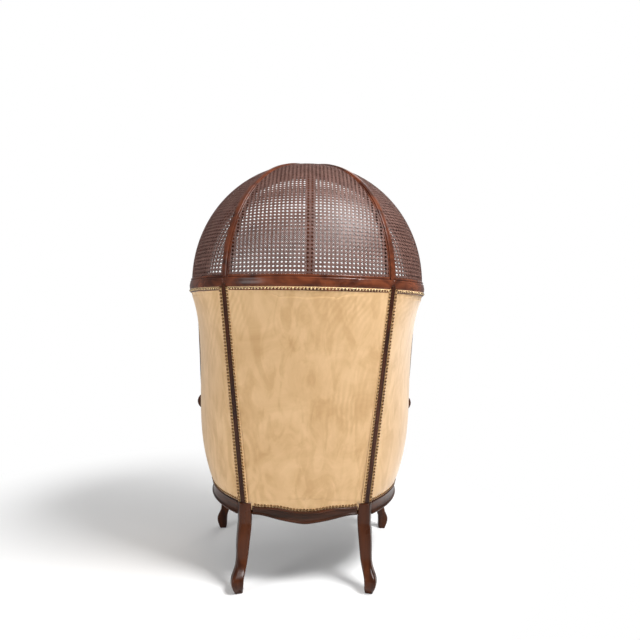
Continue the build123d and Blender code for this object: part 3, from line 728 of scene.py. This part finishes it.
def stuffed(node, voxel, pressure, cap, material, body):
    """A stuffed piece: an even mesh of the solid, swollen like a filled cover and kept within a cap."""
    work = joined_copy(node)
    piece = store(work, f"{node}_stuffed")
    remesh = piece.modifiers.new("even", "REMESH")
    remesh.mode = "VOXEL"
    remesh.voxel_size = voxel
    bpy.context.view_layer.update()
    even = settled_mesh(piece)
    piece.data = even
    before = [vert.co.copy() for vert in even.vertices]
    cloth = piece.modifiers.new("filling", "CLOTH")
    cloth.settings.use_pressure = True
    cloth.settings.uniform_pressure_force = pressure
    cloth.settings.tension_stiffness = 15
    cloth.settings.compression_stiffness = 15
    cloth.settings.bending_stiffness = 0.6
    cloth.settings.effector_weights.gravity = 0
    cloth.settings.quality = 4
    for number in range(1, 21):
        scene.frame_set(number)
    swollen = settled_mesh(piece)
    for vert, spot in zip(swollen.vertices, before):
        move = vert.co - spot
        if move.length > cap:
            vert.co = spot + move.normalized() * cap
    piece.data = swollen
    scene.frame_set(1)
    for face in piece.data.polygons:
        face.use_smooth = True
    piece.data.materials.clear()
    piece.data.materials.append(material)
    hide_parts(node)
    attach(piece, body)
    return piece


pad_voxel, pad_pressure, pad_cap = 0.006, 3.0, 0.007
for node in ("inner_back_pad", "inner_side_pad_left", "inner_side_pad_right"):
    pad = stuffed(node, pad_voxel, pad_pressure, pad_cap, suede, "root")


# Seat: beech cleats and corner blocks screwed inside the rails, crossed jute webbing tacked to the
# cleats, a stuffed deck under plain cloth, and a black dust cover stapled below.
frame_grain = (6, 6, 40)
frame_wood = polished_wood("beech_frame", (0.60, 0.42, 0.24), (0.42, 0.27, 0.14), frame_grain, coat=0.0)
frame_easing = 0.0010
for node in ("seat_cleats", "corner_blocks"):
    piece = eased_wood(node, frame_easing, frame_wood, 50)


def woven_cloth(name, light, dark, threads):
    """Plain cloth with threads both ways."""
    material, tree, shader = new_finish(name)
    place = new_node(tree, "ShaderNodeTexCoord")
    warp = new_node(tree, "ShaderNodeTexWave", bands_direction="X")
    weft = new_node(tree, "ShaderNodeTexWave", bands_direction="Y")
    for wave in (warp, weft):
        wave.inputs["Scale"].default_value = threads
        wave.inputs["Distortion"].default_value = 1.5
        wave.inputs["Detail Scale"].default_value = 4
        link(tree, place.outputs["Object"], wave.inputs["Vector"])
    knit = new_node(tree, "ShaderNodeMath", operation="MAXIMUM")
    link(tree, warp.outputs["Fac"], knit.inputs[0])
    link(tree, weft.outputs["Fac"], knit.inputs[1])
    tint = new_node(tree, "ShaderNodeMix", data_type="RGBA")
    tint.inputs[6].default_value = (*dark, 1)
    tint.inputs[7].default_value = (*light, 1)
    relief = new_node(tree, "ShaderNodeBump")
    relief.inputs["Strength"].default_value = 0.4
    relief.inputs["Distance"].default_value = 0.0008
    link(tree, knit.outputs[0], tint.inputs["Factor"])
    link(tree, knit.outputs[0], relief.inputs["Height"])
    link(tree, tint.outputs[2], shader.inputs["Base Color"])
    link(tree, relief.outputs["Normal"], shader.inputs["Normal"])
    shader.inputs["Roughness"].default_value = 0.95
    return material


def cloth_piece(node, material):
    """A thin or hidden cloth piece in the shape of its solid."""
    work = joined_copy(node)
    piece = store(work, f"{node}_cloth", smooth=40)
    piece.data.materials.append(material)
    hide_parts(node)
    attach(piece, "root")


jute = woven_cloth("jute_webbing", (0.55, 0.42, 0.24), (0.36, 0.26, 0.14), 260)
dust_cloth = woven_cloth("dust_cloth", (0.035, 0.035, 0.035), (0.012, 0.012, 0.012), 400)
deck_cloth = woven_cloth("deck_cloth", (0.74, 0.58, 0.38), (0.60, 0.45, 0.28), 400)
cloth_piece("seat_webbing", jute)
cloth_piece("dust_cover", dust_cloth)

# The deck's top is plain cloth under the cushion, with a border of suede.
deck_voxel, deck_pressure, deck_cap = 0.008, 2.0, 0.003
plain_half_width = 0.24
plain_front, plain_back = -0.30, 0.10
deck = stuffed("seat_deck", deck_voxel, deck_pressure, deck_cap, deck_cloth, "root")
deck.data.materials.append(suede)
for face in deck.data.polygons:
    inside = abs(face.center.x) < plain_half_width and plain_front < face.center.y < plain_back
    face.material_index = 0 if inside and face.normal.z > 0.7 else 1


# Cushion: a loose knife-edge cushion of the same suede, filled with down over foam,
# with a suede-covered welt cord sewn round it at its widest line.
cushion_voxel, cushion_pressure, cushion_cap = 0.007, 4.0, 0.012
cushion = stuffed("seat_cushion", cushion_voxel, cushion_pressure, cushion_cap, suede, "cushion")


def surface_of(*meshes):
    """A search tree of the surfaces of one or more meshes, to seat trim on them."""
    verts, faces = [], []
    for mesh in meshes:
        start = len(verts)
        verts += [vert.co.copy() for vert in mesh.vertices]
        faces += [[start + k for k in face.vertices] for face in mesh.polygons]
    return BVHTree.FromPolygons(verts, faces)


well_outside = 0.6
welt_height = 0.380
welt_radius = 0.0042
welt_sink = 0.0015
welt_facets = 8
cushion_middle = Vector((0, -0.13, welt_height))
cushion_surface = surface_of(cushion.data)
places = []
for k in range(180):
    bearing = 2 * pi * k / 180
    way = Vector((cos(bearing), sin(bearing), 0))
    spot = cushion_surface.ray_cast(cushion_middle + way * well_outside, -way)[0]
    if spot is not None:
        places.append(spot - way * welt_sink)
work = bmesh.new()
rings = []
for index, spot in enumerate(places):
    ahead = (places[(index + 1) % len(places)] - places[index - 1]).normalized()
    side = Vector((ahead.y, -ahead.x, 0)) * welt_radius
    up = Vector((0, 0, welt_radius))
    turns = [2 * pi * k / welt_facets for k in range(welt_facets)]
    rings.append([work.verts.new(spot + side * cos(turn) + up * sin(turn)) for turn in turns])
join_rings(work, rings, closed=True)
welt = store(work, "cushion_welt", smooth=70)
welt.data.materials.append(suede)
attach(welt, "cushion")


# Nails: small domed brass heads, lacquered and darkened, set nearly touching down both edges of the posts,
# under the canopy rail, over the seat rails and along the wings and arms, through the edge of the suede.
nail_radius = 0.0051
nail_pitch = 0.0115
nail_sink = 0.0002
nail_search = 0.03


def aged_brass(name, dark, light):
    """Lacquered brass, spotted with age."""
    material, tree, shader = new_finish(name)
    place = new_node(tree, "ShaderNodeTexCoord")
    spots = new_node(tree, "ShaderNodeTexNoise")
    spots.inputs["Scale"].default_value = 160
    spots.inputs["Detail"].default_value = 2
    tint = new_node(tree, "ShaderNodeMix", data_type="RGBA")
    tint.inputs[6].default_value = (*dark, 1)
    tint.inputs[7].default_value = (*light, 1)
    link(tree, place.outputs["Object"], spots.inputs["Vector"])
    link(tree, spots.outputs["Fac"], tint.inputs["Factor"])
    link(tree, tint.outputs[2], shader.inputs["Base Color"])
    shader.inputs["Metallic"].default_value = 1.0
    shader.inputs["Roughness"].default_value = 0.26
    return material


brass = aged_brass("aged_brass", (0.12, 0.055, 0.022), (0.34, 0.20, 0.09))
# The same brass made lighter, for the nails under the canopy rail: painted light where these nails catch
# the lamp.
painted_lit_brass = aged_brass("painted_lit_brass", (0.30, 0.20, 0.10), (0.80, 0.62, 0.36))

nail_dome_share = 0.62
nail_work = bmesh.new()
bmesh.ops.create_uvsphere(nail_work, u_segments=8, v_segments=6, radius=nail_radius)
bmesh.ops.bisect_plane(nail_work, geom=nail_work.verts[:] + nail_work.edges[:] + nail_work.faces[:],
                       plane_co=(0, 0, 0), plane_no=(0, 0, -1), clear_outer=True)
bmesh.ops.scale(nail_work, vec=(1, 1, nail_dome_share), verts=nail_work.verts)
nail_head = bpy.data.meshes.new("nail_head")
nail_work.to_mesh(nail_head)
nail_work.free()


def drive_nails(name, seats, metal, size=1.0):
    """One row of nails; each seat is a place and the outward way there."""
    work = bmesh.new()
    for spot, way in seats:
        start = len(work.verts)
        work.from_mesh(nail_head)
        work.verts.ensure_lookup_table()
        turn = (Matrix.Translation(spot) @ way.to_track_quat("Z", "Y").to_matrix().to_4x4()
                @ Matrix.Scale(size, 4))
        bmesh.ops.transform(work, matrix=turn, verts=work.verts[start:])
    row = store(work, name, smooth=70)
    row.data.materials.append(metal)
    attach(row, "root")


def nail_row(name, path, surface):
    """A close row of nails along a path, each seated on the nearest surface."""
    seats = []
    for spot in even_run(path, nail_pitch, nail_pitch / 2):
        found, way, _, gap = surface.find_nearest(spot)
        if found is None or gap > nail_search:
            continue
        if way.dot(spot - found) < 0:
            way = -way
        seats.append((found - way * nail_sink, way))
    drive_nails(name, seats, brass)


def mirrored_path(path, sign):
    """The path on the chair's left, or its mirror image."""
    return [Vector((spot.x * sign, spot.y, spot.z)) for spot in path]


# The posts lean outwards as they rise: a rolled edge of suede down each side, nailed through its crown.
post_foot, post_head = 0.292, 1.031
post_foot_x, post_foot_y = 0.213, 0.257
post_foot_turn, post_turn_back = 60, 8.8
post_half_width = 0.010
post_edge = post_half_width + nail_radius - 0.0004
roll_start, roll_stop = 0.294, 1.029
roll_width, roll_height = 0.0130, 0.0048
roll_proud = 0.0005
roll_nail_lift = 0.0044


def post_share(height):
    """How far up the post a height is, from 0 at its foot to 1 at its head."""
    return (height - post_foot) / (post_head - post_foot)


def post_way(height, sign=1):
    """The outward way of the post at a height."""
    out = radians(post_foot_turn - post_turn_back * post_share(height))
    return Vector((cos(out) * sign, sin(out), 0))


def post_spot(height, sideways, proud):
    """A place beside the left post's middle line, measured out from the wall."""
    share = post_share(height)
    x = post_foot_x + (post_radius * sin(post_bearing) - post_foot_x) * share
    y = post_foot_y + (post_radius * cos(post_bearing) - post_foot_y) * share
    way = post_way(height)
    return Vector((x + way.x * proud - way.y * sideways, canopy_y + y + way.y * proud + way.x * sideways,
                   height))


heights = [roll_start + (roll_stop - roll_start) * k / 60 for k in range(61)]
for side, sign in (("left", 1), ("right", -1)):
    for label, sideways in (("back", post_edge), ("side", -post_edge)):
        path = mirrored_path([post_spot(height, sideways, roll_proud) for height in heights], sign)
        ways = [post_way(height, sign) for height in heights]
        binding_strip(f"post_roll_{label}_{side}", path, ways, roll_width, roll_height, suede)
        seats = []
        for spot in even_run(path, nail_pitch, nail_pitch / 2):
            way = post_way(spot.z, sign)
            seats.append((spot + way * roll_nail_lift, way))
        drive_nails(f"post_nails_{label}_{side}", seats, brass)

# Under the canopy rail: a thin wooden strip painted in as the dark line of the nails' shadow, and a row of
# the same nails made lighter to paint the light they catch, broken where the posts come up.
band_radius, band_height = 0.4482, 1.0246
band_start, band_turn = -4.4, 188.8
post_clear_angle = 1.9
# The strip that paints the line of the nails' shadow: its width, its height and how far it sinks.
shadow_strip_width, shadow_strip_height, shadow_strip_sink = 0.0125, 0.0046, 0.0058
band_nail_size, band_nail_sink, band_nail_tip = 0.80, 0.0016, -0.15
band_runs, run = [], []
for k in range(361):
    bearing = radians(band_start + band_turn * k / 360)
    spot = Vector((band_radius * cos(bearing), canopy_y + band_radius * sin(bearing), band_height))
    from_middle = abs(degrees(bearing) - 90)
    if abs(from_middle - degrees(post_bearing)) < post_clear_angle:
        if run:
            band_runs.append(run)
        run = []
    else:
        run.append(spot)
band_runs.append(run)
for number, run in enumerate(band_runs, 1):
    ways = [Vector((spot.x, spot.y - canopy_y, 0)).normalized() for spot in run]
    # A strip of the canopy wood under the nails, put where their shadow falls: painted shade.
    places = [spot - way * shadow_strip_sink for spot, way in zip(run, ways)]
    binding_strip(f"band_shadow_strip_{number}", places, ways, shadow_strip_width, shadow_strip_height, canopy_wood)
    seats = []
    for spot in even_run(run, nail_pitch, nail_pitch / 2):
        way = Vector((spot.x, spot.y - canopy_y, band_nail_tip)).normalized()
        seats.append((spot - way * band_nail_sink, way))
    drive_nails(f"band_nails_{number}", seats, painted_lit_brass, band_nail_size)

# Over the back rail: the row follows the rail's serpentine top.
back_row_half = 0.200
back_row_y, back_row_bow = 0.190, 0.020
back_row_proud = 0.030
back_row_lift = nail_radius - 0.0025
over_back_rail = 0.40
rail_surface = surface_of(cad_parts["back_rail"].data)
rail_path = []
for k in range(121):
    x = -back_row_half + 2 * back_row_half * k / 120
    above = Vector((x, back_row_y + back_row_bow * (1 - (x / back_row_half) ** 2), over_back_rail))
    hit = rail_surface.ray_cast(above, Vector((0, 0, -1)))[0]
    if hit is not None:
        rail_path.append(Vector((x, hit.y + back_row_proud, hit.z + back_row_lift)))
nail_row("back_rail_nails", rail_path, surface_of(skins["outer_back_panel"].data))

# Over the side rails: one level row, from beside the post to the arm support.
side_row_back, side_row_run = 0.185, 0.52
side_row_height = 0.2975
side_row_proud = 0.004
side_surface = surface_of(skins["outer_side_panel_left"].data)
rail_path = []
for k in range(121):
    beside = Vector((well_outside, side_row_back - side_row_run * k / 120, side_row_height))
    hit = side_surface.ray_cast(beside, Vector((-1, 0, 0)))[0]
    if hit is not None:
        rail_path.append(hit + Vector((side_row_proud, 0, 0)))
for side, sign in (("left", 1), ("right", -1)):
    nail_row(f"side_rail_nails_{side}", mirrored_path(rail_path, sign),
             surface_of(skins[f"outer_side_panel_{side}"].data))


# Where the skins and pads meet the show-wood of the wings and arms.
edge_low, edge_high = 0.30, 1.02
touch = 0.0012
seen_within = 0.004
edge_step = 0.006
look_from, look_beside = 0.3, 0.0004


def border_path(mesh, wood, way):
    """Places along a panel's edge beside the show-wood, seen looking one way, from the seat rail up."""
    panel = surface_of(mesh)
    places = []
    for vert in mesh.vertices:
        if wood.find_nearest(vert.co)[3] > touch or not edge_low <= vert.co.z <= edge_high:
            continue
        seen = panel.ray_cast(vert.co - way * look_from + Vector((0, look_beside, 0)), way)[0]
        if seen is not None and (seen - vert.co).length < seen_within:
            places.append(vert.co.copy())
    places.sort(key=lambda spot: spot.z)
    path = []
    for spot in places:
        if not path or (spot - path[-1]).length > edge_step:
            path.append(spot + Vector((0, nail_radius, 0)))
    return path


wing_surface = surface_of(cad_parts["arm_rail_left"].data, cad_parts["arm_support_left"].data)
for label, panel, looking in (("outer", "outer_side_panel", -1), ("inner", "inner_side_pad", 1)):
    way = Vector((looking, 0, 0))
    path = border_path(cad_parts[f"{panel}_left"].data, wing_surface, way)
    for side, sign in (("left", 1), ("right", -1)):
        nail_row(f"edge_nails_{label}_{side}", mirrored_path(path, sign),
                 surface_of(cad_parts[f"{panel}_{side}"].data))


# Rail mouldings: a bead worked along the top and the foot of the back and front rails.
bead_inset = 0.0052
bead_end = 0.006
bead_sink = 0.0002
bead_width, bead_height = 0.0085, 0.0036
edge_behind = 0.008
over_rails, under_rails = 0.5, 0.1
for node, sign in (("back_rail", 1), ("front_rail", -1)):
    low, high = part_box(node)
    rail_surface = surface_of(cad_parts[node].data)
    half = high[0] - bead_end
    middle = 0.5 * (low[2] + high[2])
    for label, from_height, fall in (("top", over_rails, -1), ("foot", under_rails, 1)):
        places, ways = [], []
        for k in range(97):
            x = -half + 2 * half * k / 96
            outside = Vector((x, sign * well_outside, middle))
            face, way, _, _ = rail_surface.ray_cast(outside, Vector((0, -sign, 0)))
            if face is None:
                continue
            start = Vector((x, face.y - sign * edge_behind, from_height))
            edge = rail_surface.ray_cast(start, Vector((0, 0, fall)))[0]
            if edge is None:
                continue
            places.append(Vector((x, face.y - sign * bead_sink, edge.z + bead_inset * fall)))
            ways.append(Vector((way.x, way.y, 0)).normalized())
        binding_strip(f"{node}_bead_{label}", places, ways, bead_width, bead_height, level_wood)
